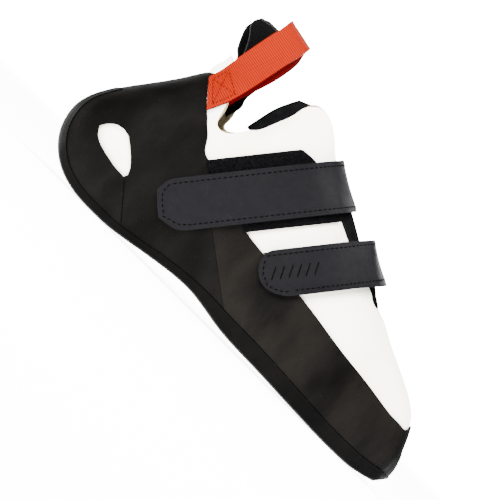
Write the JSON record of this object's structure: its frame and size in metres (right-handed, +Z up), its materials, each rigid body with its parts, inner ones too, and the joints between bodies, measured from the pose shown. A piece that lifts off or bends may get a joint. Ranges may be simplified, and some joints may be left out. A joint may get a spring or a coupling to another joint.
{
  "type": "climbing shoe",
  "caption": "Rock climbing shoe with hook-and-loop straps, wrapped rubber rand, thin sole and webbing pull loops at the heel.",
  "frame": {"origin": "on the floor, at the middle of the flat spot under the heel", "axes": "+X towards the toe, +Z up, +Y towards the inner side of the foot"},
  "size_m": [0.2555, 0.091, 0.1461],
  "materials": {
    "sole_rubber": "matte, lightly marked",
    "rand_rubber": "matte, buffed",
    "white_upper": "matte, fine grain",
    "insole_board": "felted",
    "tongue_fabric": "knitted, dull",
    "strap_rubber": "matte, stitched edges",
    "loop_pile": "looped pile, very dull",
    "orange_webbing": "woven, ribbed",
    "black_webbing": "woven, ribbed"
  },
  "bodies": {
    "root": {"outsole": "sole_rubber", "rand_toe": "rand_rubber", "rand_heel": "rand_rubber", "upper": "white_upper", "insole": "insole_board", "tongue": "tongue_fabric", "strap_upper": "strap_rubber", "strap_lower": "strap_rubber", "patch_upper": "loop_pile", "patch_lower": "loop_pile", "pull_loop_outer": "orange_webbing", "pull_loop_inner": "black_webbing"}
  },
  "joints": []
}
